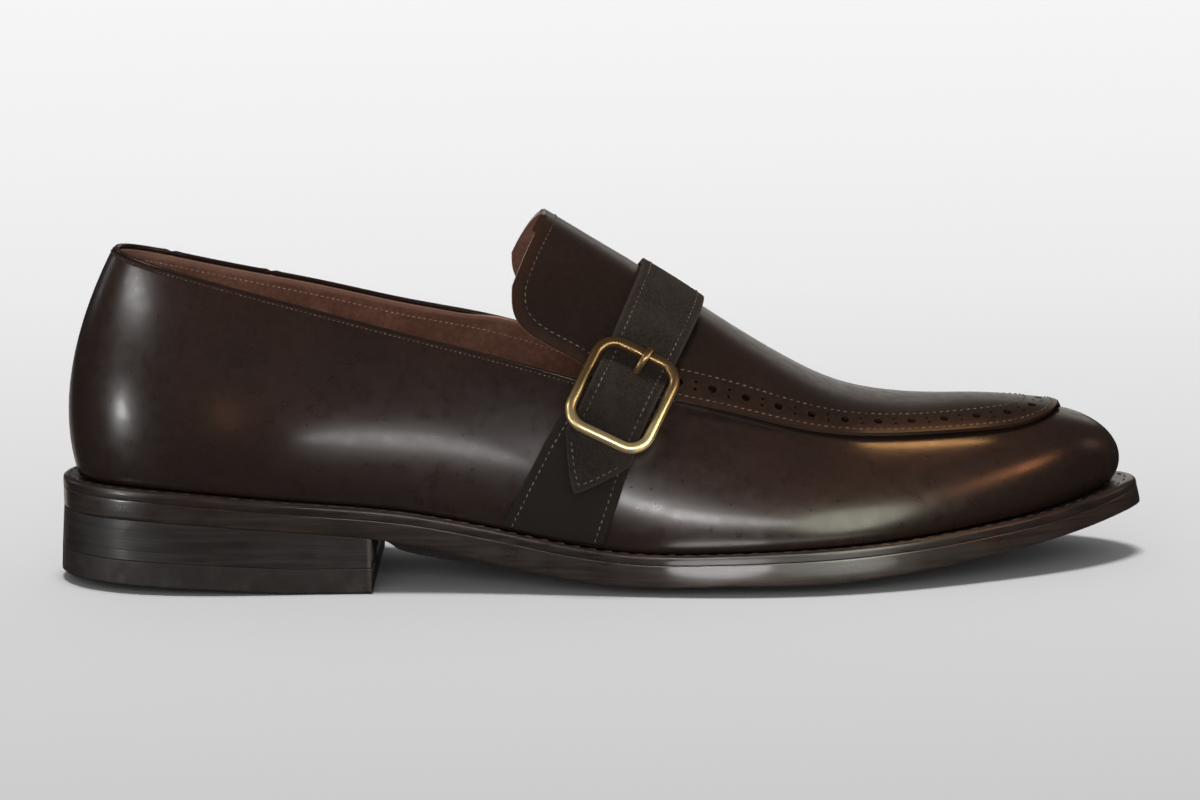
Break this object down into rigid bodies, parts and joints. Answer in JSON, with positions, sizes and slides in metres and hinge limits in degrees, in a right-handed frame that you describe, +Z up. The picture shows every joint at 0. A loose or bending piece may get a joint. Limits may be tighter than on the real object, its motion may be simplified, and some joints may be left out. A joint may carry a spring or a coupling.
{
  "type": "monk strap loafer",
  "caption": "Right low-cut leather slip-on shoe with a raised brogued apron, a standing tongue, a suede strap with a brass buckle, a welt and a low stacked heel.",
  "frame": {"origin": "on the floor, below the middle of the shoe's length and width", "axes": "+X from the heel to the toe, +Y to the inner (medial) side, +Z up"},
  "size_m": [0.3078, 0.1055, 0.1028],
  "materials": {
    "polished_leather": "polished dark brown calf",
    "suede": "matt dark brown suede",
    "lining_leather": "smooth reddish brown lining leather",
    "welt_leather": "stained and waxed dark brown leather strip",
    "sole_leather": "stained and waxed edge of sole leather",
    "heel_leather": "stacked leather lifts, stained and waxed",
    "top_piece_rubber": "dull dark rubber",
    "antique_brass": "polished antique gold brass"
  },
  "bodies": {
    "root": {"outsole": "sole_leather", "welt": "welt_leather", "heel_stack": "heel_leather", "heel_top_piece": "top_piece_rubber", "insole": "lining_leather", "upper": "polished_leather", "apron": "polished_leather", "strap": "suede", "strap_base": "suede", "buckle_frame": "antique_brass", "buckle_prong": "antique_brass"}
  },
  "joints": []
}
